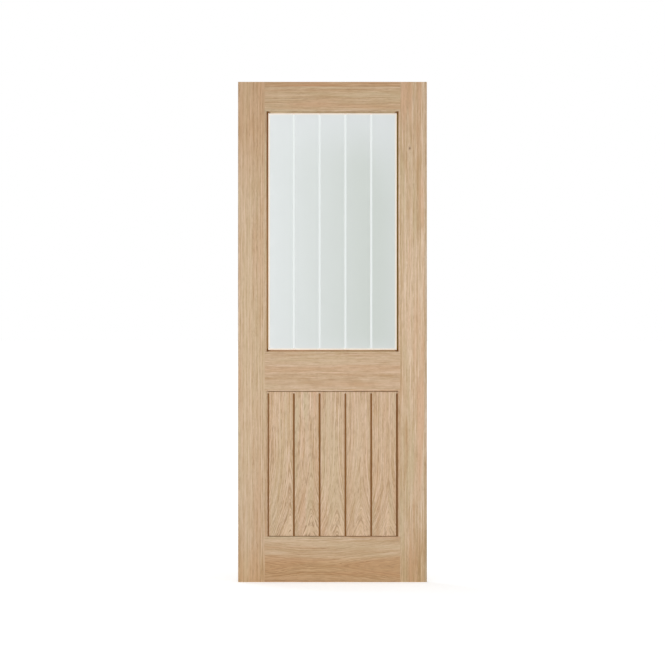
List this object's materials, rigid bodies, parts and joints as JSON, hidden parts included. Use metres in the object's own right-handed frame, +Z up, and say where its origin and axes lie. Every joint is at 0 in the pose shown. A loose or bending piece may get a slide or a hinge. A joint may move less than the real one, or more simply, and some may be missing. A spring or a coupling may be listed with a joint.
{
  "type": "glazed oak door leaf",
  "caption": "Internal oak door leaf with a satin glass upper light in mitred beads over a recessed tongue-and-grooved board panel.",
  "frame": {"origin": "middle of the hanging edge's flat face, at the leaf's bottom end", "axes": "+X across the leaf to the lock edge, +Y through the thickness to the back, +Z up"},
  "size_m": [0.77, 0.035, 2.04],
  "materials": {
    "oak_facing": "oak facing under clear matt lacquer",
    "oak_lipping": "solid oak strip under clear matt lacquer",
    "oak_board": "crown-cut oak under clear matt lacquer",
    "oak_bead": "darker oak bead under clear matt lacquer",
    "core": "laminated softwood, planed and bare",
    "glass": "satin toughened glass with clear lines",
    "glazing_tape": "closed-cell foam tape"
  },
  "bodies": {
    "root": {"hanging_stile_core": "core", "hanging_stile_lipping": "oak_lipping", "hanging_stile_front_face": "oak_facing", "hanging_stile_back_face": "oak_facing", "lock_stile_core": "core", "lock_stile_lipping": "oak_lipping", "lock_stile_front_face": "oak_facing", "lock_stile_back_face": "oak_facing", "top_rail_core": "core", "top_rail_front_face": "oak_facing", "top_rail_back_face": "oak_facing", "middle_rail_core": "core", "middle_rail_front_face": "oak_facing", "middle_rail_back_face": "oak_facing", "bottom_rail_core": "core", "bottom_rail_front_face": "oak_facing", "bottom_rail_back_face": "oak_facing", "top_rail_lipping": "oak_lipping", "bottom_rail_lipping": "oak_lipping", "glass_lining_left": "oak_lipping", "glass_lining_right": "oak_lipping", "glass_lining_top": "oak_lipping", "glass_lining_bottom": "oak_lipping", "panel_lining_left": "oak_lipping", "panel_lining_right": "oak_lipping", "panel_lining_top": "oak_lipping", "panel_lining_bottom": "oak_lipping", "board_1": "oak_board", "board_2": "oak_board", "board_3": "oak_board", "board_4": "oak_board", "board_5": "oak_board", "glass_pane": "glass", "glazing_tape_front": "glazing_tape", "glazing_tape_back": "glazing_tape", "front_bead_left": "oak_bead", "front_bead_right": "oak_bead", "front_bead_top": "oak_bead", "front_bead_bottom": "oak_bead", "back_bead_left": "oak_bead", "back_bead_right": "oak_bead", "back_bead_top": "oak_bead", "back_bead_bottom": "oak_bead"}
  },
  "joints": []
}
